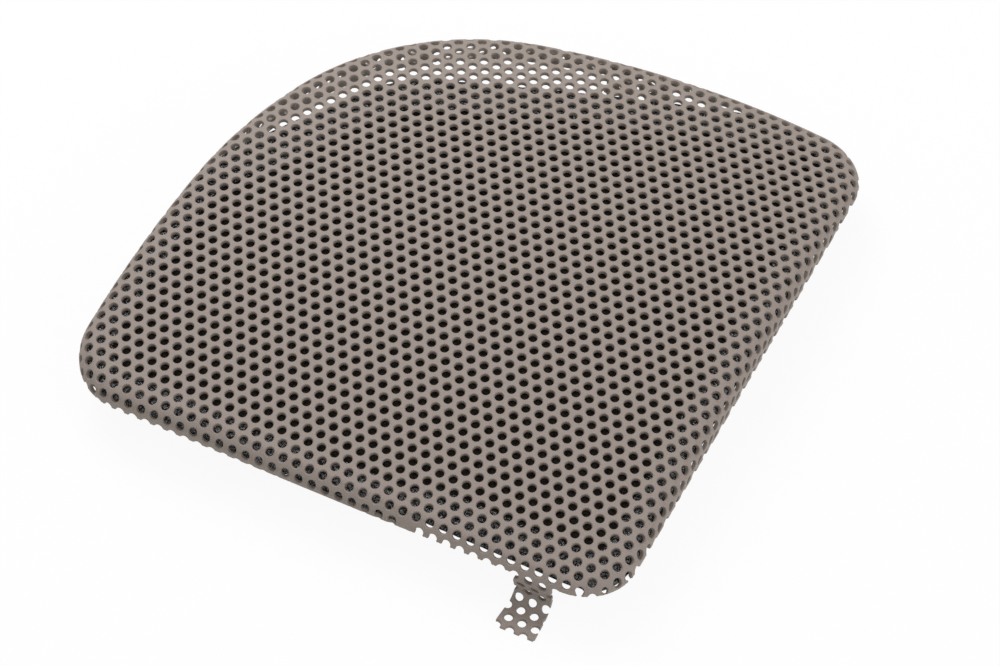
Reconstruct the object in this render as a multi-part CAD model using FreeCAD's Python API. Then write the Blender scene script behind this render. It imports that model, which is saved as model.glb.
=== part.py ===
"""Speaker grille cover: a crowned sheet-metal face with a rolled edge and three bent tabs,
lined with a foam pad that a band of adhesive holds.

Millimetres. +X runs along the front edge, +Y to the back and +Z out of the visible face.
The origin is in the plane of the rim, which seats on the trim, at the middle of the cover.
"""
import FreeCAD, Part
import math
import os

from FreeCAD import Vector

# --- sheet and perforation ---
SHEET = 1.2                 # sheet with its paint
HOLE_PITCH = 4.0            # real perforation: holes staggered at 60 degrees
HOLE_DIAMETER = 2.5         # punched hole
PATTERN_X = 3.8             # a hole centre that sets where the pattern lies
PATTERN_Y = -23.1
GROUP = 3                   # one opening in the face stands for GROUP x GROUP real holes
FACE_MARGIN = 0.8           # plain metal between an opening and the start of the rolled edge
EDGE_OPENING = 4.0          # across an opening in the rolled edge
EDGE_PITCH = 8.0            # from one of those to the next
EDGE_METAL = 0.8            # least metal between such an opening and the rim

# --- outline of the walls, clockwise from the front left corner ---
FRONT = 89.5                # origin to the front wall, at its left end
LEFT = 84.7                 # origin to the left wall, at its foot
CORNER_FRONT_LEFT = 19.0
CORNER_BACK_RIGHT = 17.0
CORNER_FRONT_RIGHT = 15.3
LEFT_HEADING = -1.1         # degrees from +Y, at the foot of the left wall
SHOULDER = [                # radius and turn in degrees: left wall, shoulder, back wall
    (500.0, 6.5),
    (147.0, 16.8),
    (85.0, 52.3),
    (301.0, 16.5),
]
RIGHT_TAPER = 1.4           # degrees that the right wall leans in towards the front
FRONT_TAPER = 1.1           # degrees that the front wall leans in towards the right

# --- crown and edge ---
CROWN_HEIGHT = 13.3         # rim plane to the highest point of the face
CROWN_X = -25.3             # where that point lies
CROWN_Y = 9.5
CROWN_RADIUS_ACROSS = 1520.0
CROWN_RADIUS_ALONG = 543.0
ROLL_RADIUS = 4.6           # outside of the rolled edge
SKIRT = 16.0                # rim plane to the edge of the wall before the rim is trimmed

# --- tabs folded in under the cover, at the front and at the back ---
FOLD_BEND = 0.3             # inside radius
FOLD_NECK = 0.1             # straight wall above the bend
FRONT_FOLD_X = 4.0
FRONT_FOLD_WIDTH = 32.0
FRONT_FOLD_REACH = 6.0      # wall to the end of the tab
FRONT_FOLD_DROP = 1.0       # rim plane to the underside of the tab
BACK_FOLD_X = 12.5
BACK_FOLD_WIDTH = 20.0
BACK_FOLD_REACH = 13.0
BACK_FOLD_DROP = 2.2

# --- fixing tab, bent out from the front rim ---
TAB_X = 59.0
TAB_WIDTH = 10.8
TAB_NECK = -2.8             # height where the neck starts to lean in
TAB_LEAN = 12.0             # degrees
TAB_DROP = 12.7             # rim plane to the underside of the foot
TAB_BEND = 3.5              # inside radius
TAB_REACH = 11.3            # front wall to the end of the foot
TAB_HOLES_X = 55.8          # a hole centre of the rows that the tab carries
TAB_NECK_ROWS = [-4.2, -7.7]
TAB_FOOT_ROWS = [3.9, 7.4, 10.8]

# --- backing ---
GLUE = 0.3
GLUE_WIDTH = 14.0
FOAM = 2.0
LAYER_GAP = 0.1             # sheet to adhesive, and adhesive to foam
LINING_INSET = 2.4          # wall to the edge of the foam, which runs into the rolled edge
FOAM_CLEARANCE = 0.4        # least distance from the foam up from the rim plane
FOAM_CORNER_X = -47.8       # the foam stops short of the shoulder: two straight cuts meet here
FOAM_CORNER_Y = 43.4
FOAM_CORNER_RADIUS = 40.0
FOAM_LEFT_CUT = 32.7        # heading of the cut up to the corner, in degrees from +Y
FOAM_BACK_CUT = 67.2        # heading of the cut after it

UP = Vector(0, 0, 1)
LONG = 200.0                # longer than any cut has to reach


class Path:
    """A chain of tangent lines and arcs, drawn clockwise. Headings are degrees from +Y."""

    def __init__(self, x, y, heading):
        self.x, self.y, self.heading = x, y, heading
        self.edges = []

    def point(self):
        return Vector(self.x, self.y, 0)

    def line_to(self, x, y):
        self.edges.append(Part.LineSegment(self.point(), Vector(x, y, 0)).toShape())
        self.x, self.y = x, y

    def line(self, length):
        along = math.radians(self.heading)
        self.line_to(self.x + length * math.sin(along), self.y + length * math.cos(along))

    def on_arc(self, radius, turn):
        start = math.radians(self.heading)
        end = math.radians(self.heading + turn)
        across = radius * (math.cos(start) - math.cos(end))
        ahead = radius * (math.sin(end) - math.sin(start))
        return Vector(self.x + across, self.y + ahead, 0)

    def arc(self, radius, turn):
        middle = self.on_arc(radius, turn / 2)
        end = self.on_arc(radius, turn)
        self.edges.append(Part.Arc(self.point(), middle, end).toShape())
        self.x, self.y = end.x, end.y
        self.heading += turn

    def wire(self):
        return Part.Wire(Part.__sortEdges__(self.edges))


def meet(point, heading, other, other_heading):
    """How far along each of two lines, given by a point and a heading, they meet."""
    a, b = math.radians(heading), math.radians(other_heading)
    turn = math.sin(b - a)
    dx, dy = other.x - point.x, other.y - point.y
    first = (dx * math.cos(b) - dy * math.sin(b)) / -turn
    second = (dx * math.cos(a) - dy * math.sin(a)) / -turn
    return abs(first), abs(second)


def wall_outline(inset):
    """The closed wire of the walls, moved inwards by inset."""
    path = Path(CORNER_FRONT_LEFT - LEFT, -FRONT, -90.0 - FRONT_TAPER)
    start = path.point()
    path.arc(CORNER_FRONT_LEFT, 90.0 + FRONT_TAPER + LEFT_HEADING)
    for radius, turn in SHOULDER:
        path.arc(radius, turn)
    path.arc(CORNER_BACK_RIGHT, 180.0 + RIGHT_TAPER - path.heading)
    right, front = meet(path.point(), path.heading, start, 270.0 - FRONT_TAPER)
    last_turn = 90.0 - RIGHT_TAPER - FRONT_TAPER
    cut = CORNER_FRONT_RIGHT * math.tan(math.radians(last_turn / 2))
    path.line(right - cut)
    path.arc(CORNER_FRONT_RIGHT, last_turn)
    path.line_to(start.x, start.y)
    return path.wire().makeOffset2D(-inset) if inset else path.wire()


def crown_height(point):
    """Height of the crown over a point of the plan."""
    across = (point.x - CROWN_X) ** 2 / (2 * CROWN_RADIUS_ACROSS)
    along = (point.y - CROWN_Y) ** 2 / (2 * CROWN_RADIUS_ALONG)
    return CROWN_HEIGHT - across - along


def crown(drop):
    """The crown of the face as one exact patch, lowered by drop."""
    bow_x = LONG ** 2 / (2 * CROWN_RADIUS_ACROSS)
    bow_y = LONG ** 2 / (2 * CROWN_RADIUS_ALONG)
    patch = Part.BezierSurface()
    patch.increase(2, 2)
    for i in (-1, 0, 1):
        for j in (-1, 0, 1):
            z = CROWN_HEIGHT - drop - bow_x * (2 * abs(i) - 1) - bow_y * (2 * abs(j) - 1)
            pole = Vector(CROWN_X + i * LONG, CROWN_Y + j * LONG, z)
            patch.setPole(i + 2, j + 2, pole)
    return patch.toShape()


def under_crown(drop):
    """Everything below the crown lowered by drop."""
    return crown(drop).extrude(-LONG * UP)


def column(wire, bottom, top):
    """The upright column inside a flat wire."""
    base = Part.Face(wire)
    base.translate(bottom * UP)
    return base.extrude((top - bottom) * UP)


def box(x_range, y_range, z_range):
    size = [r[1] - r[0] for r in (x_range, y_range, z_range)]
    return Part.makeBox(size[0], size[1], size[2], Vector(x_range[0], y_range[0], z_range[0]))


def dish(inset, bottom):
    """The crowned block inside the walls, with its top edge rolled over."""
    block = column(wall_outline(inset), bottom, LONG / 2).common(under_crown(inset))
    top = max(block.Faces, key=lambda face: face.CenterOfMass.z)
    return block.makeFillet(ROLL_RADIUS - inset, top.Edges)


def placed(shape, wall):
    """A shape drawn with +X out of the wall and +Y along it, moved to a (point, facing) of it."""
    point, facing = wall
    turned = shape.copy()
    turned.rotate(Vector(0, 0, 0), UP, facing)
    return turned.translated(point)


def front_wall(x):
    """The point of the front wall at x, and the way it faces there, in degrees from +X."""
    lean = math.tan(math.radians(FRONT_TAPER))
    y = -FRONT + (x - CORNER_FRONT_LEFT + LEFT) * lean
    return Vector(x, y, 0), -90 + FRONT_TAPER


def back_wall(x):
    """The point of the bowed back wall at x, and the way it faces there, in degrees from +X."""
    radius = SHOULDER[-1][0]
    arcs = [edge.Curve for edge in wall_outline(0).Edges if isinstance(edge.Curve, Part.Circle)]
    bow = min(arcs, key=lambda arc: abs(arc.Radius - radius))
    facing = math.acos((x - bow.Center.x) / radius)
    return Vector(x, bow.Center.y + radius * math.sin(facing), 0), math.degrees(facing)


def folded(width, top, lean, inside, turn, bottom, reach):
    """A tab: a neck from the wall at height top, a bend, and a flat whose underside is at bottom.

    The flat ends at reach from the wall. A positive turn folds it in under the cover, and a
    negative one bends it out.
    """
    inward = turn > 0
    radii = (inside + SHEET, inside) if inward else (-inside, -inside - SHEET)
    flat = bottom if inward else bottom + SHEET
    heading = math.radians(180 + lean)
    fall = abs(radii[0] * (math.sin(math.radians(180 + lean + turn)) - math.sin(heading)))
    neck = (top - flat - fall) / math.cos(math.radians(lean))
    edges, ends = [], []
    for radius, side in ((radii[0], 0), (radii[1], SHEET)):
        face = Path(side * math.cos(heading), top - side * math.sin(heading), 180 + lean)
        ends.append(face.point())
        face.line(neck)
        face.arc(radius, turn)
        face.line(abs(reach + face.x) if inward else reach - face.x)
        ends.append(face.point())
        edges += face.edges
    edges.append(Part.LineSegment(ends[0], ends[2]).toShape())
    edges.append(Part.LineSegment(ends[1], ends[3]).toShape())
    section = Part.Face(Part.Wire(Part.__sortEdges__(edges)))
    section.rotate(Vector(0, 0, 0), Vector(1, 0, 0), 90)
    section.translate(Vector(0, -width / 2, 0))
    return section.extrude(Vector(0, width, 0))


def folded_in(width, reach, drop):
    """The height where the wall turns into a tab folded in under the cover, and that tab."""
    top = FOLD_NECK + FOLD_BEND + SHEET - drop
    return top, folded(width, top, 0, FOLD_BEND, 90, -drop, reach)


def tabs():
    """Each tab as its place on the walls, its width, the height where it starts and its shape."""
    bent_out = folded(TAB_WIDTH, TAB_NECK, TAB_LEAN, TAB_BEND, -90 - TAB_LEAN, -TAB_DROP, TAB_REACH)
    front_top, front = folded_in(FRONT_FOLD_WIDTH, FRONT_FOLD_REACH, FRONT_FOLD_DROP)
    back_top, back = folded_in(BACK_FOLD_WIDTH, BACK_FOLD_REACH, BACK_FOLD_DROP)
    return [
        (front_wall(TAB_X), TAB_WIDTH, TAB_NECK, bent_out),
        (front_wall(FRONT_FOLD_X), FRONT_FOLD_WIDTH, front_top, front),
        (back_wall(BACK_FOLD_X), BACK_FOLD_WIDTH, back_top, back),
    ]


def sheet_metal():
    """The formed sheet, cut off at the rim plane, and at each tab where that tab starts."""
    formed = dish(0, -SKIRT).cut(dish(SHEET, -SKIRT - 1))
    waste = box((-LONG, LONG), (-LONG, LONG), (-LONG, 0))
    joined = []
    for wall, width, top, tab in tabs():
        span = box((-4 * SHEET, SHEET), (-width / 2, width / 2), (min(top, 0), max(top, 0)))
        span = placed(span, wall)
        waste = waste.fuse(span) if top > 0 else waste.cut(span)
        joined.append(placed(tab, wall))
    return formed.cut(waste).fuse(joined)


def opening(radius, height):
    """An upright hexagonal cutter with the same area as a round hole of this radius."""
    corner = radius * math.sqrt(2 * math.pi / math.sqrt(27))
    angles = [math.radians(60 * k + 30) for k in range(7)]
    ring = [Vector(corner * math.cos(a), corner * math.sin(a), 0) for a in angles]
    return Part.Face(Part.makePolygon(ring)).extrude(height * UP)


def face_openings():
    """The openings of the face, each for GROUP x GROUP round holes of the real sheet."""
    pitch = GROUP * HOLE_PITCH
    row = pitch * math.sqrt(0.75)
    radius = GROUP * HOLE_DIAMETER / 2
    cutter = opening(radius, LONG / 4)
    allowed = Part.Face(wall_outline(ROLL_RADIUS + FACE_MARGIN + radius))
    count = int(LONG / pitch)
    openings = []
    for j in range(-count, count + 1):
        for i in range(-count, count + 1):
            place = Vector(PATTERN_X + (i + (j % 2) / 2) * pitch, PATTERN_Y + j * row, 0)
            if allowed.isInside(place, 0.001, True):
                openings.append(cutter.translated(place))
    return openings


def edge_openings():
    """A row of openings round the rolled edge, square to its surface."""
    depth = ROLL_RADIUS * (1 - math.sqrt(0.5))
    row = wall_outline(depth)
    cutter = opening(EDGE_OPENING / 2, 3 * SHEET)
    cutter.translate(-1.5 * SHEET * UP)
    count = int(row.Length / EDGE_PITCH)
    ring = row.discretize(Number=count + 1)
    openings = []
    for k in range(count):
        before, here, after = ring[k - 1 if k else count - 1], ring[k], ring[k + 1]
        along = (after - before).normalize()
        outward = along.cross(UP)
        if outward.dot(here) < 0:
            outward = -outward
        height = crown_height(here) - depth
        if height < EDGE_OPENING / 2 * math.sqrt(0.5) + EDGE_METAL:
            continue
        place = FreeCAD.Placement(Vector(here.x, here.y, height),
                                  FreeCAD.Rotation(UP, outward + UP))
        turned = cutter.copy()
        turned.Placement = place.multiply(cutter.Placement)
        openings.append(turned)
    return openings


def tab_openings():
    """The openings of the fixing tab at their real size: two rows in its neck, three in its foot."""
    upright = opening(HOLE_DIAMETER / 2, 4 * SHEET)
    level = upright.copy()
    level.rotate(Vector(0, 0, 0), Vector(1, 0, 0), 90)
    wall = front_wall(TAB_X)[0].y
    tools = []
    for n in (0, 1, 2):
        for k, z in enumerate(TAB_NECK_ROWS):
            x = TAB_HOLES_X + (n - (k % 2) / 2) * HOLE_PITCH
            tools.append(level.translated(Vector(x, wall + 3 * SHEET, z)))
        for k, reach in enumerate(TAB_FOOT_ROWS):
            x = TAB_HOLES_X + (n - ((k + 1) % 2) / 2) * HOLE_PITCH
            tools.append(upright.translated(Vector(x, wall - reach, -TAB_DROP - SHEET)))
    return tools


def foam_cut():
    """The wire that bounds the foam away from the shoulder."""
    turn = FOAM_BACK_CUT - FOAM_LEFT_CUT
    reach = FOAM_CORNER_RADIUS * math.tan(math.radians(turn / 2))
    left = math.radians(FOAM_LEFT_CUT)
    back = LONG + reach
    path = Path(FOAM_CORNER_X - back * math.sin(left), FOAM_CORNER_Y - back * math.cos(left),
                FOAM_LEFT_CUT)
    start = path.point()
    path.line(LONG)
    path.arc(FOAM_CORNER_RADIUS, turn)
    path.line(LONG)
    path.line_to(path.x, start.y)
    path.line_to(start.x, start.y)
    return path.wire()


def lining_outline():
    """The foam's outline: into the rolled edge, and short of the shoulder."""
    inside = Part.Face(wall_outline(LINING_INSET))
    return inside.common(Part.Face(foam_cut())).Faces[0].OuterWire


def layer(top, thickness):
    """A sheet of even thickness, top below the face and round its rolled edge, above the rim."""
    sheet = dish(top, -SKIRT).cut(dish(top + thickness, -SKIRT - 1))
    sheet = sheet.common(column(lining_outline(), -LONG / 4, LONG / 4))
    return sheet.cut(box((-LONG, LONG), (-LONG, LONG), (-LONG, FOAM_CLEARANCE)))


def foam_pad():
    """The foam, pressed flat where it would reach the rim plane."""
    return layer(SHEET + GLUE + 2 * LAYER_GAP, FOAM)


def adhesive_band():
    """The band of adhesive that follows the edge of the foam."""
    middle = column(lining_outline().makeOffset2D(-GLUE_WIDTH), -LONG / 4, LONG / 4)
    return layer(SHEET + LAYER_GAP, GLUE).cut(middle)


def save(shape, name):
    solid = shape.Solids[0]
    solid.exportStep(os.path.join("parts", name + ".step"))
    print(name, len(shape.Solids), solid.isValid(), round(solid.Volume))


os.makedirs("parts", exist_ok=True)

openings = Part.makeCompound(face_openings() + edge_openings() + tab_openings())
save(sheet_metal().cut(openings), "grille_sheet")
save(foam_pad(), "foam_pad")
save(adhesive_band(), "adhesive_band")
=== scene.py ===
"""The looks of the grille cover: the sheet with every hole of its real perforation, the foam that
lines it, and the adhesive that shows as bright specks near the foam's edge.

Lengths are millimetres in this script, and metres in Blender. The axes are the part's own.
"""
import math

import bmesh
import bpy
import numpy as np
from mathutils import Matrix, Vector
from mathutils.geometry import delaunay_2d_cdt


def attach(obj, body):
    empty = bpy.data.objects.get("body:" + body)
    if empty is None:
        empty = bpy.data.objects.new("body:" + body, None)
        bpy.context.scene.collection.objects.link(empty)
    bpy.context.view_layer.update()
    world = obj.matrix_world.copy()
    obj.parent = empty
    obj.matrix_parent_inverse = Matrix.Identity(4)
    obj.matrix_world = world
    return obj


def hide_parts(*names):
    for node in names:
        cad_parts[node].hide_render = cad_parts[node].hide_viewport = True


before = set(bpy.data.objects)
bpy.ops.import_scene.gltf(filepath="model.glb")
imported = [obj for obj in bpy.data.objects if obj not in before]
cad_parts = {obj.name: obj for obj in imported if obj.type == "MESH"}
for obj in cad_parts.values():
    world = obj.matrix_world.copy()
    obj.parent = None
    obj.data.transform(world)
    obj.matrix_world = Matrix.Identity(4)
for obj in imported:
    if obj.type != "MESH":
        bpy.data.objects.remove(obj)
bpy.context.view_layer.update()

MM = 0.001

# --- sheet and perforation ---
SHEET = 1.2                 # with its paint
PITCH = 4.0
HOLE_RADIUS = 1.26          # clear of the paint
SOFT_RADIUS = 1.58          # where the paint starts to round over into the hole
SOFT_DEPTH = 0.3            # how deep it does so
HOLE_SIDES = 12
REACH = 19.0                # how far past the start of the rolled edge the pattern is made
LEDGE = 0.3                 # least sheet between a hole and the rim
SMALLEST = 0.6              # size of the smallest hole that is made, as a share
NICKED = -0.2               # holes centred below this height nick the rim
OPEN_RIM_X = 25.0           # right of it, the holes of the front run out through the rim
FACES_FRONT = 0.8           # how squarely a wall faces the front to count as the front, 0 to 1
FACES_RIGHT = 0.9           # the same for the right wall
ROWS = 38                   # of the pattern, on each side of its origin
COLUMNS = 48

# --- outline of the walls, clockwise from the front left corner ---
FRONT = 89.5                # front wall, where the front left corner starts
LEFT = 84.7                 # left wall, as it leaves that corner
CORNER_FRONT_LEFT = 19.0    # radii of the corners
CORNER_BACK_RIGHT = 17.0
CORNER_FRONT_RIGHT = 15.3
LEFT_HEADING = -1.1         # degrees clockwise of +Y, out of that corner
SHOULDER = [(500.0, 6.5), (147.0, 16.8), (85.0, 52.3), (301.0, 16.5)]  # radii, turns in degrees
RIGHT_TAPER = 1.4           # degrees that the right wall and the front wall are off square
FRONT_TAPER = 1.1
ROLL = 4.6                  # from the start of the rolled edge to the wall, in plan

# --- tabs folded in under the cover ---
FOLD_BEND = 0.3             # inside radius
FOLD_NECK = 0.1             # straight length above the bend
FOLD_MARGIN = 0.1           # how far it is kept above the upper side of its flat part
FRONT_FOLD_X = 4.0
FRONT_FOLD_WIDTH = 32.0
FRONT_FOLD_REACH = 6.0      # from the wall to the free end
FRONT_FOLD_DROP = 1.0       # underside below the rim
BACK_FOLD_X = 12.5
BACK_FOLD_WIDTH = 20.0
BACK_FOLD_REACH = 13.0
BACK_FOLD_DROP = 2.2

# --- fixing tab ---
TAB_X = 59.0
TAB_WIDTH = 10.8
TAB_NECK = -2.8             # height at which it leaves the line of the wall
TAB_LEAN = 12.0             # degrees inwards, below that
TAB_DROP = 12.7             # underside of the foot below the rim
TAB_BEND = 3.5              # inside radius
TAB_REACH = 9.4             # from the wall to the free end
TAB_FLARE = 7.0             # how far its left side turns outwards, degrees

# --- how far round a tab its holes are made, in the plan of the blank ---
TAB_ASIDE = 4.0             # past each of its sides
TAB_BEHIND = 9.0            # inside the wall
TAB_AHEAD = 26.0            # past the wall

# --- backing ---
GLUE_TOP = 1.3              # below the face
GLUE = 0.3
GLUE_WIDTH = 11.0           # in from the edge of the foam
FOAM_TOP = 1.7              # below the face
FOAM = 2.0
THINNEST = 0.05             # least thickness of either, where the rim leaves no room
BACKING_LOWEST = 0.05       # least height of either over the rim
JITTER = 0.3                # how far the inner points of either's mesh stray, in their spacings
RING_GAP = 0.6              # least way from them to its edge, in their spacings
LINING_INSET = -1.5         # wall to the edge of the foam, laid out flat: it runs down the roll
LINING_LOWEST = 0.35        # least height of the sheet over that edge
LINING_FRONT = 3.5          # how much further in it ends at the right of the front
LINING_FRONT_Y = 60.0       # in full from this far in front of the middle
LINING_FRONT_START = (18.0, 26.0)  # where along x it starts to, and does in full
LINING_FRONT_END = (72.0, 75.0)  # where it last does in full, and where it ends
LINING_STEP = 0.1           # by which it is drawn in where the sheet is too low
LINING_STEPS = 60
FOAM_CORNER = (-47.8, 43.4)  # where the two straight cuts along the shoulder would meet
FOAM_CORNER_RADIUS = 40.0
FOAM_LEFT_CUT = 32.7        # degrees clockwise of +Y that each runs
FOAM_BACK_CUT = 67.2
FOAM_CUT_REACH = 160.0      # length of each cut, before the outline trims it
FOAM_CORNER_POINTS = 40

# The crown: height of the face over the plan, as a cubic in x and y.
CROWN = {(0, 0): 12.959, (1, 0): -1.3351e-2, (0, 1): 2.4946e-2, (2, 0): -3.2131e-4,
         (1, 1): -5.2028e-5, (0, 2): -9.0725e-4, (3, 0): -3.8364e-7, (2, 1): -1.6414e-6,
         (1, 2): -1.1573e-6, (0, 3): -8.2692e-7}


def height(p):
    """Height of the face over plan points p."""
    return sum(k * p[:, 0] ** a * p[:, 1] ** b for (a, b), k in CROWN.items())


def slope(p):
    """Gradient of the face over plan points p."""
    gx = sum(k * a * p[:, 0] ** max(a - 1, 0) * p[:, 1] ** b for (a, b), k in CROWN.items())
    gy = sum(k * b * p[:, 0] ** a * p[:, 1] ** max(b - 1, 0) for (a, b), k in CROWN.items())
    return np.stack([gx, gy], -1)


def pattern(q):
    """Plan position of points q of the flat pattern, in pitches. The fit gave the numbers."""
    X, Y = q[:, 0], q[:, 1]
    x = 3.8014 + 3.9993 * X + 2.05e-3 * Y - 7.5e-5 * X * X - 1.1e-5 * X * Y - 2.14e-4 * Y * Y
    y = -23.095 + 2.55e-3 * X + 3.9934 * Y + 3.31e-4 * X * X + 5.0e-5 * X * Y + 9.41e-4 * Y * Y
    return np.stack([x, y], -1)


class Outline:
    """The closed convex chain of the walls, as arcs and lines, moved inwards by inset."""

    def __init__(self, inset):
        self.pieces = []
        self.inset = inset
        self.at = np.array([CORNER_FRONT_LEFT - LEFT, -FRONT])
        self.heading = -90.0 - FRONT_TAPER
        start, front = self.at, -self.along()
        self.arc(CORNER_FRONT_LEFT, 90 + FRONT_TAPER + LEFT_HEADING)
        for radius, turn in SHOULDER:
            self.arc(radius, turn)
        self.arc(CORNER_BACK_RIGHT, 180 + RIGHT_TAPER - self.heading)
        down, back = np.linalg.solve(np.stack([self.along(), -front], -1), start - self.at)
        turn = 90 - RIGHT_TAPER - FRONT_TAPER
        cut = CORNER_FRONT_RIGHT * math.tan(math.radians(turn / 2))
        self.line(down - cut)
        self.arc(CORNER_FRONT_RIGHT, turn)
        self.line(back - cut)

    def along(self):
        h = math.radians(self.heading)
        return np.array([math.sin(h), math.cos(h)])

    def arc(self, radius, turn):
        out = self.along() @ np.array([[0, 1], [-1, 0]])
        centre = self.at - out * radius
        self.pieces.append(("arc", centre, radius - self.inset, self.heading, self.heading + turn))
        self.heading += turn
        out = self.along() @ np.array([[0, 1], [-1, 0]])
        self.at = centre + out * radius

    def line(self, length):
        out = self.along() @ np.array([[0, 1], [-1, 0]])
        self.pieces.append(("line", self.at - out * self.inset, self.along(), length, out))
        self.at = self.at + self.along() * length

    def outside(self, p):
        """For points p: distance outside, nearest point of the outline, outward direction."""
        d = np.zeros(len(p))
        foot = p.copy()
        out = np.zeros_like(p)
        for piece in self.pieces:
            if piece[0] == "arc":
                _, centre, radius, start, end = piece
                v = p - centre
                r = np.hypot(v[:, 0], v[:, 1])
                heading = np.degrees(np.arctan2(v[:, 1], -v[:, 0]))
                turned = (heading - start) % 360
                m = (turned <= end - start) & (r > radius)
                n = v[m] / r[m, None]
                d[m], foot[m], out[m] = r[m] - radius, centre + n * radius, n
            else:
                _, start, along, length, n = piece
                v = p - start
                t, s = v @ along, v @ n
                m = (t >= 0) & (t <= length) & (s > 0)
                d[m], foot[m], out[m] = s[m], (start + t[:, None] * along)[m], n
        return d, foot, out

    def points(self, step):
        """The outline as a ring of points."""
        ring = []
        for piece in self.pieces:
            if piece[0] == "arc":
                _, centre, radius, start, end = piece
                count = max(2, int(math.radians(end - start) * radius / step))
                h = np.radians(np.linspace(start, end, count, endpoint=False))
                ring.append(centre + radius * np.stack([-np.cos(h), np.sin(h)], -1))
            else:
                _, start, along, length, n = piece
                count = max(2, int(length / step))
                t = np.linspace(0, length, count, endpoint=False)
                ring.append(start + t[:, None] * along)
        return np.concatenate(ring)


ROLL_START = Outline(ROLL)


class Tab:
    """A tab that carries the wall on below the rim: a neck, a bend and a flat.

    A positive turn folds it in under the cover, and a negative one bends it out.
    """

    def __init__(self, point, facing, width, top, lean, inside, turn, bottom, reach, flare=0):
        self.point = np.array(point)
        self.out = np.array([math.cos(math.radians(facing)), math.sin(math.radians(facing))])
        self.width, self.top, self.reach = width, top, reach
        self.flare = math.radians(flare)
        self.turn = math.radians(turn)
        self.start = math.radians(180 + lean)
        inward = turn > 0
        self.radius = inside + SHEET if inward else -inside
        self.neutral = inside + SHEET / 2
        flat = bottom if inward else bottom + SHEET
        fall = abs(self.radius * (math.sin(self.start + self.turn) - math.sin(self.start)))
        self.neck = (top - flat - fall) / math.cos(math.radians(lean))
        self.inward = inward
        self.highest = max(0, flat + SHEET + FOLD_MARGIN) if inward else 0

    def bent(self, length):
        """How far out of the wall, the height and the outward direction at lengths below top."""
        straight = np.clip(length, 0, self.neck)
        limit = abs(self.turn)
        turned = np.clip((length - self.neck) / self.neutral, 0, limit)
        heading = self.start + np.sign(self.turn) * turned
        rest = np.maximum(length - self.neck - self.neutral * limit, 0)
        out = straight * math.sin(self.start) + rest * np.sin(heading)
        out += self.radius * (math.cos(self.start) - np.cos(heading))
        z = self.top + straight * math.cos(self.start) + rest * np.cos(heading)
        z += self.radius * (np.sin(heading) - math.sin(self.start))
        return out, z, -np.cos(heading), np.sin(heading)

    def near(self, p):
        """Which plan points of the blank may lie in the tab."""
        v = p - self.point
        ahead, aside = v @ self.out, v @ np.array([-self.out[1], self.out[0]])
        beside = np.abs(aside) < self.width / 2 + TAB_ASIDE
        return beside & (ahead > -TAB_BEHIND) & (ahead < TAB_AHEAD)

    def cuts(self):
        """The planes that bound it, each as a point and the side that goes."""
        side = np.array([-self.out[1], self.out[0]])
        end = self.point + self.out * (-self.reach if self.inward else self.reach)
        away = -self.out if self.inward else self.out
        planes = [((0, 0, self.highest), (0, 0, 1))]
        for sign in (-1, 1):
            flare = self.flare if sign < 0 else 0
            away_side = sign * side * math.cos(flare) - self.out * math.sin(flare)
            planes.append(((*(self.point + sign * side * self.width / 2), 0), (*away_side, 0)))
        planes.append(((*end, 0), (*away, 0)))
        return planes


def front_wall(x):
    """The point of the front wall at x, and the way it faces."""
    lean = math.tan(math.radians(FRONT_TAPER))
    return (x, -FRONT + (x - CORNER_FRONT_LEFT + LEFT) * lean), -90 + FRONT_TAPER


def back_wall(x):
    """The point of the bowed back wall at x, and the way it faces."""
    _, centre, radius, _, _ = Outline(0).pieces[len(SHOULDER)]
    facing = math.acos((x - centre[0]) / radius)
    return (x, centre[1] + radius * math.sin(facing)), math.degrees(facing)


def folded_in(wall, width, reach, drop):
    """A tab folded in under the cover."""
    return Tab(*wall, width, FOLD_NECK + FOLD_BEND + SHEET - drop, 0, FOLD_BEND, 90, -drop, reach)


TABS = [
    Tab(*front_wall(TAB_X), TAB_WIDTH, TAB_NECK, TAB_LEAN, TAB_BEND, -90 - TAB_LEAN,
        -TAB_DROP, TAB_REACH, TAB_FLARE),
    folded_in(front_wall(FRONT_FOLD_X), FRONT_FOLD_WIDTH, FRONT_FOLD_REACH, FRONT_FOLD_DROP),
    folded_in(back_wall(BACK_FOLD_X), BACK_FOLD_WIDTH, BACK_FOLD_REACH, BACK_FOLD_DROP),
]


def form(p, tab=None):
    """The outer face of the sheet and its outward direction, for plan points p of the blank."""
    d, foot, out = ROLL_START.outside(p)
    g = slope(foot)
    z = height(foot)
    normal = np.stack([-g[:, 0], -g[:, 1], np.ones(len(p))], -1)
    normal /= np.linalg.norm(normal, axis=1)[:, None]
    where = np.stack([foot[:, 0], foot[:, 1], z], -1)
    m = d > 0
    start = np.arctan(-np.sum(g * out, 1))
    radius = ROLL / (1 - np.sin(start))
    neutral = radius - SHEET / 2
    arc = neutral * (math.pi / 2 - start)
    angle = np.minimum(start + d / neutral, math.pi / 2)
    off = radius * (np.sin(angle) - np.sin(start))
    drop = radius * (np.cos(start) - np.cos(angle)) + np.maximum(d - arc, 0)
    cross = np.stack([-out[:, 1], out[:, 0]], -1)
    lean = np.sum(g * cross, 1)
    rolled = np.stack([foot[:, 0] + out[:, 0] * off, foot[:, 1] + out[:, 1] * off, z - drop], -1)
    tilt = np.cos(angle)[:, None] * (-lean[:, None] * cross)
    n = np.concatenate([out * np.sin(angle)[:, None] + tilt, np.cos(angle)[:, None]], 1)
    n /= np.linalg.norm(n, axis=1)[:, None]
    where[m], normal[m] = rolled[m], n[m]
    if tab:
        below = tab.top - where[:, 2]
        t = m & (below > 0)
        ahead, z, level, rise = tab.bent(below)
        plan = foot + out * (ROLL + ahead)[:, None]
        where[t] = np.column_stack([plan, z])[t]
        normal[t] = np.column_stack([out * level[:, None], rise])[t]
    return where, normal


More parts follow.
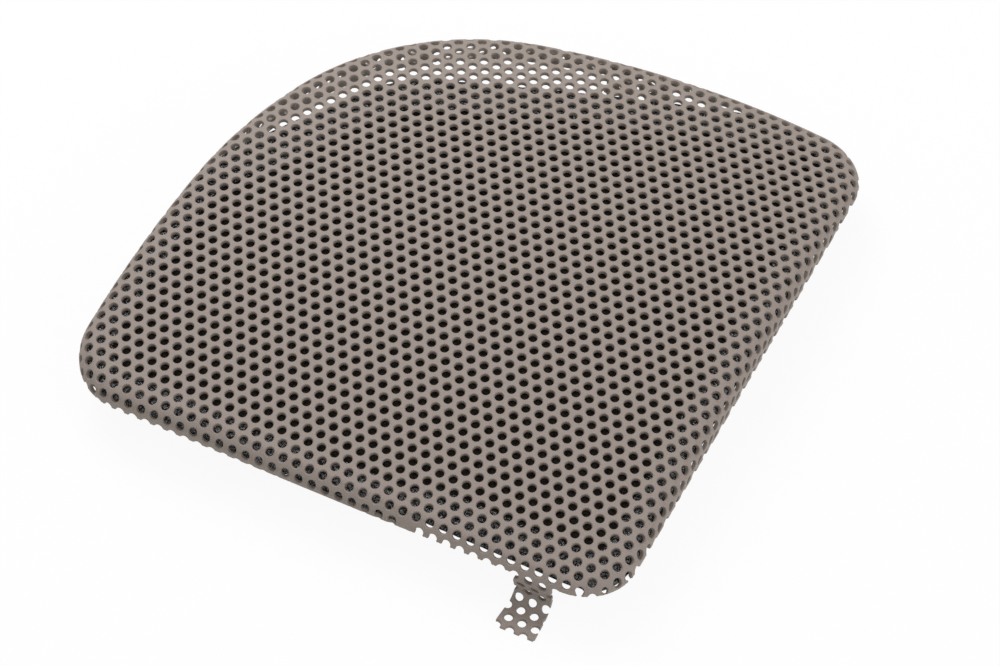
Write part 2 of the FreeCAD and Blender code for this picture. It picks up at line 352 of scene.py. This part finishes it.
def cells(keep):
    """Hole centres of the staggered pattern whose plan position passes keep."""
    rows, columns = range(-ROWS, ROWS + 1), range(-COLUMNS, COLUMNS + 1)
    ij = np.array([(i, j) for j in rows for i in columns])
    centre = np.stack([ij[:, 0] + ij[:, 1] / 2, -ij[:, 1] * math.sqrt(0.75)], -1)
    return centre[keep(pattern(centre))]


def hole_sizes(centres):
    """Each hole's share of its full size: smaller close above the rim, 0 where it leaves no room.

    On the tabs, the right wall and the right of the front, the rim cuts through whole holes.
    """
    p = pattern(centres)
    where, normal = form(p)
    fall = np.sqrt(np.maximum(1 - normal[:, 2] ** 2, 0.01))  # for each mm along the sheet
    size = np.clip((where[:, 2] - LEDGE) / fall / HOLE_RADIUS, 0, 1)
    size[size < SMALLEST] = 0
    level = np.hypot(normal[:, 0], normal[:, 1])
    front = (normal[:, 1] < -FACES_FRONT * level) & (p[:, 0] > OPEN_RIM_X)
    whole = (where[:, 2] < NICKED) | front | (normal[:, 0] > FACES_RIGHT * level)
    for tab in TABS:
        v = p - tab.point
        aside = v @ np.array([-tab.out[1], tab.out[0]])
        whole |= (np.abs(aside) < tab.width / 2) & (v @ tab.out > -TAB_BEHIND)
    size[whole] = 1
    return size


# What a face of the perforated sheet is: the outside, the rounded edge of a hole, the wall of a
# hole, the inside, or the end that a cut leaves.
OUTSIDE, ROUNDED, HOLE_WALL, INSIDE, CUT = range(5)


def perforated(centres, tab):
    """A closed shell of sheet with a hole at each centre.

    Returns its points, their outward directions, its faces and what each face is.
    """
    sizes = np.ones(len(centres)) if tab else hole_sizes(centres)
    sides = HOLE_SIDES
    per = sides // 6
    corner_at = 1 / math.sqrt(3)
    corner_angle = [math.radians(30 + 60 * k) for k in range(6)]
    hole_angle = [math.radians(30 + 360 / sides * k) for k in range(sides)]
    flat, depth, faces, kinds = [], [], [], []
    index = {}

    def vertex(q, w):
        key = (round(q[0] * 1000), round(q[1] * 1000), w)
        if key not in index:
            index[key] = len(flat)
            flat.append(q)
            depth.append(w)
        return index[key]

    levels = (("soft", SOFT_RADIUS, 0.0), ("hole", HOLE_RADIUS, SOFT_DEPTH),
              ("under", HOLE_RADIUS, SHEET))
    without_hole = (levels[0], levels[2])
    for c, size in zip(centres, sizes):
        rings = {}
        for name, radius, w in levels if size else without_hole:
            share = radius * (size or 1) / PITCH
            ring = []
            for a in hole_angle:
                flat.append((c[0] + share * math.cos(a), c[1] + share * math.sin(a)))
                depth.append(w)
                ring.append(len(flat) - 1)
            rings[name] = ring
        for w, name, kind in ((0.0, "soft", OUTSIDE), (SHEET, "under", INSIDE)):
            hexagon = [vertex((c[0] + corner_at * math.cos(a), c[1] + corner_at * math.sin(a)), w)
                       for a in corner_angle]
            for k in range(6):
                inner = [rings[name][(k * per + m) % sides] for m in range(per + 1)]
                face = [hexagon[k], hexagon[(k + 1) % 6]] + inner[::-1]
                faces.append(face[::-1] if w else face)
                kinds.append(kind)
            if not size:
                flat.append(tuple(c))
                depth.append(w)
                for k in range(sides):
                    fan = [len(flat) - 1, rings[name][k], rings[name][(k + 1) % sides]]
                    faces.append(fan if w else fan[::-1])
                    kinds.append(kind)
        if not size:
            continue
        for k in range(sides):
            n = (k + 1) % sides
            for upper, lower, kind in (("soft", "hole", ROUNDED), ("hole", "under", HOLE_WALL)):
                faces.append([rings[upper][k], rings[upper][n], rings[lower][n], rings[lower][k]])
                kinds.append(kind)
    outer, normal = form(pattern(np.array(flat)), tab)
    points = outer - normal * np.array(depth)[:, None]
    return points, normal, faces, kinds


def shell_mesh(name, centres, tab, cuts):
    """A perforated shell as a mesh, cut by planes (point, normal of the side that goes)."""
    points, normal, faces, kinds = perforated(centres, tab)
    mesh = bpy.data.meshes.new(name)
    mesh.from_pydata((points * MM).tolist(), [], faces)
    up = mesh.attributes.new("face_normal", "FLOAT_VECTOR", "POINT")
    up.data.foreach_set("vector", normal.astype(np.float32).ravel())
    kind = mesh.attributes.new("kind", "INT", "FACE")
    kind.data.foreach_set("value", np.array(kinds, np.int32))
    bm = bmesh.new()
    bm.from_mesh(mesh)
    for point, away in cuts:
        geometry = bm.verts[:] + bm.edges[:] + bm.faces[:]
        bmesh.ops.bisect_plane(bm, geom=geometry, plane_co=Vector(point) * MM,
                               plane_no=Vector(away), clear_outer=True, dist=1e-7)
        open_edges = [e for e in bm.edges if e.is_boundary]
        ends = bmesh.ops.holes_fill(bm, edges=open_edges, sides=0)
        layer = bm.faces.layers.int["kind"]
        for f in ends["faces"]:
            f[layer] = CUT
    bmesh.ops.recalc_face_normals(bm, faces=bm.faces[:])
    bm.to_mesh(mesh)
    bm.free()
    return mesh


def shade(mesh):
    """Loop normals: the face and its rounded hole edges shade smooth, cut edges stay crisp."""
    count = len(mesh.vertices)
    up = np.zeros(count * 3, np.float32)
    mesh.attributes["face_normal"].data.foreach_get("vector", up)
    up = up.reshape(-1, 3)
    up /= np.maximum(np.linalg.norm(up, axis=1)[:, None], 1e-9)
    kind = np.zeros(len(mesh.polygons), np.int32)
    mesh.attributes["kind"].data.foreach_get("value", kind)
    totals = np.zeros(len(mesh.polygons), np.int32)
    mesh.polygons.foreach_get("loop_total", totals)
    corner = np.zeros(len(mesh.loops), np.int32)
    mesh.loops.foreach_get("vertex_index", corner)
    flat_normal = np.zeros(len(mesh.polygons) * 3, np.float32)
    mesh.polygons.foreach_get("normal", flat_normal)
    flat_normal = flat_normal.reshape(-1, 3)
    face_of = np.repeat(np.arange(len(mesh.polygons)), totals)
    loop_kind = kind[face_of]
    # wall direction at a vertex: the mean of its wall faces' own normals
    wall = np.zeros((count, 3))
    m = loop_kind == HOLE_WALL
    np.add.at(wall, corner[m], flat_normal[face_of[m]])
    wall /= np.maximum(np.linalg.norm(wall, axis=1)[:, None], 1e-9)
    has_wall = np.zeros(count, bool)
    has_wall[corner[m]] = True
    on_face = np.zeros(count, bool)
    on_face[corner[loop_kind == OUTSIDE]] = True
    rounded = loop_kind == ROUNDED
    loops = flat_normal[face_of].copy()
    m = (loop_kind == OUTSIDE) | rounded & on_face[corner]
    loops[m] = up[corner[m]]
    m = loop_kind == INSIDE
    loops[m] = -up[corner[m]]
    m = (loop_kind == HOLE_WALL) | rounded & ~on_face[corner] & has_wall[corner]
    loops[m] = wall[corner[m]]
    mesh.polygons.foreach_set("use_smooth", np.ones(len(mesh.polygons), bool))
    mesh.normals_split_custom_set(loops.tolist())
    mesh.attributes.remove(mesh.attributes["face_normal"])
    mesh.attributes.remove(mesh.attributes["kind"])


def link(mesh, name, body="root"):
    """The mesh as an object that rides on a body."""
    o = bpy.data.objects.new(name, mesh)
    bpy.context.scene.collection.objects.link(o)
    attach(o, body)
    return o


def joined(meshes, name):
    """The meshes as one, with their own loop normals."""
    objects = []
    for k, mesh in enumerate(meshes):
        o = bpy.data.objects.new(f"{name}_{k}", mesh)
        bpy.context.scene.collection.objects.link(o)
        objects.append(o)
    for o in bpy.context.selected_objects:
        o.select_set(False)
    for o in objects:
        o.select_set(True)
    bpy.context.view_layer.objects.active = objects[0]
    bpy.ops.object.join()
    objects[0].name = name
    return objects[0]


# --- the sheet ---
def near_face(p):
    """Which plan points of the blank are in the face, the rolled edge or the wall."""
    d, _, _ = ROLL_START.outside(p)
    return d < REACH


meshes = [shell_mesh("face", cells(near_face), None, [((0, 0, 0), (0, 0, -1))])]
for tab in TABS:
    meshes.append(shell_mesh("tab", cells(tab.near), tab, tab.cuts()))
for mesh in meshes:
    shade(mesh)
grille = joined(meshes, "grille_cover")
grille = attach(grille, "root")
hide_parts("grille_sheet")


# --- foam and adhesive ---
def drawn_in(ring):
    """The ring with its front right edge further in, and kept above the rim, as the foam's is."""
    moved = ring.copy()
    start, full = LINING_FRONT_START
    last, end = LINING_FRONT_END
    to_front = np.clip(-ring[:, 1] / LINING_FRONT_Y, 0, 1)
    along = np.clip((ring[:, 0] - start) / (full - start), 0, 1)
    along *= np.clip((end - ring[:, 0]) / (end - last), 0, 1)
    moved[:, 1] += LINING_FRONT * to_front * along
    for _ in range(LINING_STEPS):
        where, _ = form(moved)
        d, _, out = ROLL_START.outside(moved)
        low = (where[:, 2] < LINING_LOWEST) & (d > 0)
        moved[low] -= LINING_STEP * out[low]
    return moved


def foam_ring(step, inset):
    """The foam's outline as a ring of points, moved inwards by inset."""
    outline = Outline(LINING_INSET + inset)
    ring = drawn_in(outline.points(step))
    turn = math.radians(FOAM_BACK_CUT - FOAM_LEFT_CUT)
    left = math.radians(FOAM_LEFT_CUT)
    back = math.radians(FOAM_BACK_CUT)
    corner = np.array(FOAM_CORNER)
    out_left = np.array([-math.cos(left), math.sin(left)])
    out_back = np.array([-math.cos(back), math.sin(back)])
    along_left = np.array([math.sin(left), math.cos(left)])
    radius = FOAM_CORNER_RADIUS
    centre = corner - along_left * radius * math.tan(turn / 2) - out_left * radius

    def beyond(p):
        """How far points p are past the cut along the shoulder."""
        v = p - centre
        r = np.hypot(v[:, 0], v[:, 1])
        heading = np.arctan2(v[:, 1], -v[:, 0])
        a = v @ out_left
        b = v @ out_back
        d = np.where(heading < left, a, np.where(heading > back, b, r))
        return d - (radius - inset)
    d = beyond(ring)
    kept = ring[d <= 0]
    # the cut itself, as points that lie inside the outline
    h = np.linspace(left, back, FOAM_CORNER_POINTS)
    arc = centre + (radius - inset) * np.stack([-np.cos(h), np.sin(h)], -1)
    reach = np.arange(step, FOAM_CUT_REACH, step)[:, None]
    before = arc[0] - reach[::-1] * along_left
    after = arc[-1] + reach * np.array([math.sin(back), math.cos(back)])
    cut = np.concatenate([before, arc, after])
    cut = drawn_in(cut[outline.outside(cut)[0] <= 0])
    start = int(np.argmax(d > 0))
    gap_start = np.concatenate([ring[:start][d[:start] <= 0], cut])
    rest = ring[start:][d[start:] <= 0]
    return np.concatenate([gap_start, rest])


def within(p, ring):
    """Which points p lie inside a ring."""
    crossings = np.zeros(len(p), int)
    for (x0, y0), (x1, y1) in zip(ring, np.roll(ring, -1, 0)):
        m = (p[:, 1] < y0) != (p[:, 1] < y1)
        crossings[m] += p[m, 0] < x0 + (p[m, 1] - y0) * (x1 - x0) / (y1 - y0)
    return crossings % 2 == 1


def between(p, rings):
    """Which points p lie inside rings[0] and outside rings[1:]."""
    inside = within(p, rings[0])
    for ring in rings[1:]:
        inside &= ~within(p, ring)
    return inside


def filled(rings, spacing, seed):
    """Triangles that fill rings[0] less rings[1:], with inner points a spacing apart."""
    rng = np.random.default_rng(seed)
    low, high = rings[0].min(0), rings[0].max(0)
    xs = np.arange(low[0], high[0], spacing)
    ys = np.arange(low[1], high[1], spacing * math.sqrt(0.75))
    grid = np.array([(x + (k % 2) * spacing / 2, y) for k, y in enumerate(ys) for x in xs])
    grid += rng.uniform(-JITTER, JITTER, grid.shape) * spacing
    kept = between(grid, rings)
    for x, y in np.concatenate(rings):
        kept &= np.hypot(grid[:, 0] - x, grid[:, 1] - y) > spacing * RING_GAP
    grid = grid[kept]
    points, edges = [], []
    for ring in rings:
        first = len(points)
        points += ring.tolist()
        edges += [(first + k, first + (k + 1) % len(ring)) for k in range(len(ring))]
    points += grid.tolist()
    verts, _, tris, _, _, _ = delaunay_2d_cdt([Vector(p) for p in points], edges, [], 0, 1e-6)
    verts = np.array([tuple(v) for v in verts])
    tris = np.array([t for t in tris if len(t) == 3])
    return verts, tris[between(verts[tris].mean(1), rings)]


def slab(name, rings, spacing, top, thickness, rough, seed):
    """A layer under the face, with a rough upper side and a closed edge."""
    verts, tris = filled(rings, spacing, seed)
    rng = np.random.default_rng(seed + 1)
    where, normal = form(verts)
    upper = where - normal * (top + rng.uniform(0, rough, len(verts)))[:, None]
    lower = where - normal * (top + thickness)
    upper[:, 2] = np.maximum(upper[:, 2], BACKING_LOWEST + THINNEST)
    lower[:, 2] = np.clip(lower[:, 2], BACKING_LOWEST, upper[:, 2] - THINNEST)
    count = len(verts)
    points = np.concatenate([upper, lower])
    edges = {}  # a dictionary, since it keeps the order that a set would lose
    for t in tris:
        for k in range(3):
            edges[int(t[k]), int(t[(k + 1) % 3])] = True
    sides = [(b, a, a + count, b + count) for a, b in edges if (b, a) not in edges]
    faces = [tuple(int(i) for i in t) for t in tris]
    faces += [tuple(int(i) + count for i in t[::-1]) for t in tris] + sides
    mesh = bpy.data.meshes.new(name)
    mesh.from_pydata((points * MM).tolist(), [], faces)
    bm = bmesh.new()
    bm.from_mesh(mesh)
    loose = [v for v in bm.verts if not v.link_faces]
    bmesh.ops.delete(bm, geom=loose, context="VERTS")
    bmesh.ops.recalc_face_normals(bm, faces=bm.faces[:])
    bm.to_mesh(mesh)
    bm.free()
    return link(mesh, name)


foam = slab("foam_lining", [foam_ring(1.5, 0.0)], spacing=1.6, top=FOAM_TOP, thickness=FOAM,
            rough=0.25, seed=11)
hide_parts("foam_pad")
glue = slab("adhesive_film", [foam_ring(1.0, 0.0), foam_ring(1.0, GLUE_WIDTH)], spacing=0.8,
            top=GLUE_TOP, thickness=GLUE, rough=0.22, seed=23)
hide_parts("adhesive_band")


# --- materials ---
def material(name, base, roughness):
    """A material, with its node tree and its shader."""
    m = bpy.data.materials.new(name)
    m.use_nodes = True
    tree = m.node_tree
    shader = tree.nodes["Principled BSDF"]
    shader.inputs["Base Color"].default_value = (*base, 1)
    shader.inputs["Roughness"].default_value = roughness
    return m, tree, shader


def noise(tree, scale, detail, roughness):
    """Noise over the object, with about scale lumps to a metre."""
    place = tree.nodes.new("ShaderNodeTexCoord")
    n = tree.nodes.new("ShaderNodeTexNoise")
    n.inputs["Scale"].default_value = scale
    n.inputs["Detail"].default_value = detail
    n.inputs["Roughness"].default_value = roughness
    tree.links.new(place.outputs["Object"], n.inputs["Vector"])
    return n


def ramp(tree, source, stops):
    """Colours for a noise, by stops that are each a value and a colour."""
    r = tree.nodes.new("ShaderNodeValToRGB")
    r.color_ramp.elements[0].position = stops[0][0]
    r.color_ramp.elements[0].color = (*stops[0][1], 1)
    r.color_ramp.elements[1].position = stops[-1][0]
    r.color_ramp.elements[1].color = (*stops[-1][1], 1)
    for position, colour in stops[1:-1]:
        e = r.color_ramp.elements.new(position)
        e.color = (*colour, 1)
    tree.links.new(source.outputs["Fac"], r.inputs["Fac"])
    return r


def bump(tree, shader, source, strength, distance):
    """Bumps the shader's surface by a noise. The distance is in metres."""
    b = tree.nodes.new("ShaderNodeBump")
    b.inputs["Strength"].default_value = strength
    b.inputs["Distance"].default_value = distance
    tree.links.new(source.outputs["Fac"], b.inputs["Height"])
    tree.links.new(b.outputs["Normal"], shader.inputs["Normal"])


PAINT = (0.296, 0.250, 0.220)


def shade_of(colour, k):
    """The colour, k times as bright."""
    return tuple(c * k for c in colour)


paint, tree, shader = material("taupe_paint", PAINT, roughness=0.62)
speckle = noise(tree, scale=2600, detail=2.0, roughness=0.6)
colours = ramp(tree, speckle, [(0.30, shade_of(PAINT, 0.90)), (0.5, PAINT),
                               (0.70, shade_of(PAINT, 1.10))])
tree.links.new(colours.outputs["Color"], shader.inputs["Base Color"])
grain = noise(tree, scale=3400, detail=2.0, roughness=0.6)
bump(tree, shader, grain, strength=0.25, distance=0.00004)
shader.inputs["Specular IOR Level"].default_value = 0.35

foam_black, tree, shader = material("black_foam", (0.012, 0.011, 0.011), roughness=0.9)
pores = noise(tree, scale=1400, detail=2.0, roughness=0.7)
colours = ramp(tree, pores, [(0.35, (0.010, 0.0075, 0.006)), (0.7, (0.062, 0.049, 0.040))])
tree.links.new(colours.outputs["Color"], shader.inputs["Base Color"])
bump(tree, shader, pores, strength=0.8, distance=0.0004)
shader.inputs["Specular IOR Level"].default_value = 0.2

glossy, tree, shader = material("black_adhesive", (0.01, 0.01, 0.01), roughness=0.10)
shader.inputs["IOR"].default_value = 2.0
lumps = noise(tree, scale=1100, detail=3.0, roughness=0.7)
colours = ramp(tree, lumps, [(0.35, (0.003, 0.003, 0.003)), (0.7, (0.030, 0.028, 0.028))])
tree.links.new(colours.outputs["Color"], shader.inputs["Base Color"])
bump(tree, shader, lumps, strength=1.0, distance=0.0008)
# it shines in specks, with dull film between them
specks = noise(tree, scale=1700, detail=2.0, roughness=0.6)
shine = tree.nodes.new("ShaderNodeMapRange")
shine.inputs["From Min"].default_value = 0.46
shine.inputs["From Max"].default_value = 0.54
shine.inputs["To Min"].default_value = 0.05
shine.inputs["To Max"].default_value = 1.0
tree.links.new(specks.outputs["Fac"], shine.inputs["Value"])
tree.links.new(shine.outputs["Result"], shader.inputs["Specular IOR Level"])

for o, m in ((grille, paint), (foam, foam_black), (glue, glossy)):
    o.data.materials.append(m)

# --- floor, light and camera ---
FLOOR_GAP = 0.02            # from the foot of the tab
FLOOR_SIZE = 30             # metres
FLOOR_WHITE = 0.93          # share of the floor that glows white, the rest takes shadows
AMBIENT = 0.55              # strength of the light from all round
KEY_LAMP = {"place": (-0.52, 0.40, 0.78), "size": 0.6, "power": 6.7}  # metres and watts
FILL_LAMP = {"place": (1.2, -0.1, 0.5), "size": 0.9, "power": 5.4}

floor_height = (-TAB_DROP - FLOOR_GAP) * MM
bpy.ops.mesh.primitive_plane_add(size=FLOOR_SIZE, location=(0, 0, floor_height))
floor = bpy.context.object
floor.name = "floor"
ground, tree, shader = material("pale_floor", (0.86, 0.86, 0.86), roughness=0.9)
# it glows only for the camera and in gloss, and lights nothing
glow = tree.nodes.new("ShaderNodeEmission")
glow.inputs["Color"].default_value = (1, 1, 1, 1)
glow.inputs["Strength"].default_value = 1.0
path = tree.nodes.new("ShaderNodeLightPath")
seen = tree.nodes.new("ShaderNodeMath")
seen.operation = "MAXIMUM"
tree.links.new(path.outputs["Is Camera Ray"], seen.inputs[0])
tree.links.new(path.outputs["Is Glossy Ray"], seen.inputs[1])
share = tree.nodes.new("ShaderNodeMath")
share.operation = "MULTIPLY"
share.inputs[1].default_value = FLOOR_WHITE
tree.links.new(seen.outputs[0], share.inputs[0])
mix = tree.nodes.new("ShaderNodeMixShader")
tree.links.new(share.outputs[0], mix.inputs[0])
tree.links.new(shader.outputs[0], mix.inputs[1])
tree.links.new(glow.outputs[0], mix.inputs[2])
tree.links.new(mix.outputs[0], tree.nodes["Material Output"].inputs["Surface"])
floor.data.materials.append(ground)

world = bpy.data.worlds.new("studio")
bpy.context.scene.world = world
world.use_nodes = True
tree = world.node_tree
back = tree.nodes["Background"]
back.inputs["Color"].default_value = (1, 1, 1, 1)
back.inputs["Strength"].default_value = AMBIENT
# the camera sees white behind the object
white = tree.nodes.new("ShaderNodeBackground")
white.inputs["Color"].default_value = (1, 1, 1, 1)
path = tree.nodes.new("ShaderNodeLightPath")
mix = tree.nodes.new("ShaderNodeMixShader")
tree.links.new(path.outputs["Is Camera Ray"], mix.inputs[0])
tree.links.new(back.outputs[0], mix.inputs[1])
tree.links.new(white.outputs[0], mix.inputs[2])
tree.links.new(mix.outputs[0], tree.nodes["World Output"].inputs["Surface"])


def softbox(name, place, size, power):
    """A square lamp that faces the middle of the cover."""
    lamp = bpy.data.lights.new(name, "AREA")
    lamp.shape = "RECTANGLE"
    lamp.size = lamp.size_y = size
    lamp.energy = power
    o = bpy.data.objects.new(name, lamp)
    bpy.context.scene.collection.objects.link(o)
    o.location = place
    o.rotation_euler = (-Vector(place)).to_track_quat("-Z", "Y").to_euler()


softbox("key", **KEY_LAMP)
softbox("fill", **FILL_LAMP)

# The camera was fitted to the photo together with the pattern of holes.
IMAGE_WIDTH = 1000
FOCAL_PIXELS = 3217.4
SENSOR_WIDTH = 36.0
lens = bpy.data.cameras.new("camera")
camera = bpy.data.objects.new("camera", lens)
bpy.context.scene.collection.objects.link(camera)
bpy.context.scene.camera = camera
lens.sensor_width = SENSOR_WIDTH
lens.lens = FOCAL_PIXELS * SENSOR_WIDTH / IMAGE_WIDTH
camera.location = (0.2279179, -0.5010442, 0.7204412)
camera.rotation_mode = "QUATERNION"
camera.rotation_quaternion = (0.9247727, 0.3056615, 0.0558547, 0.2196513)
lens.clip_start = 0.01

view = bpy.context.scene.view_settings
view.view_transform = "Standard"
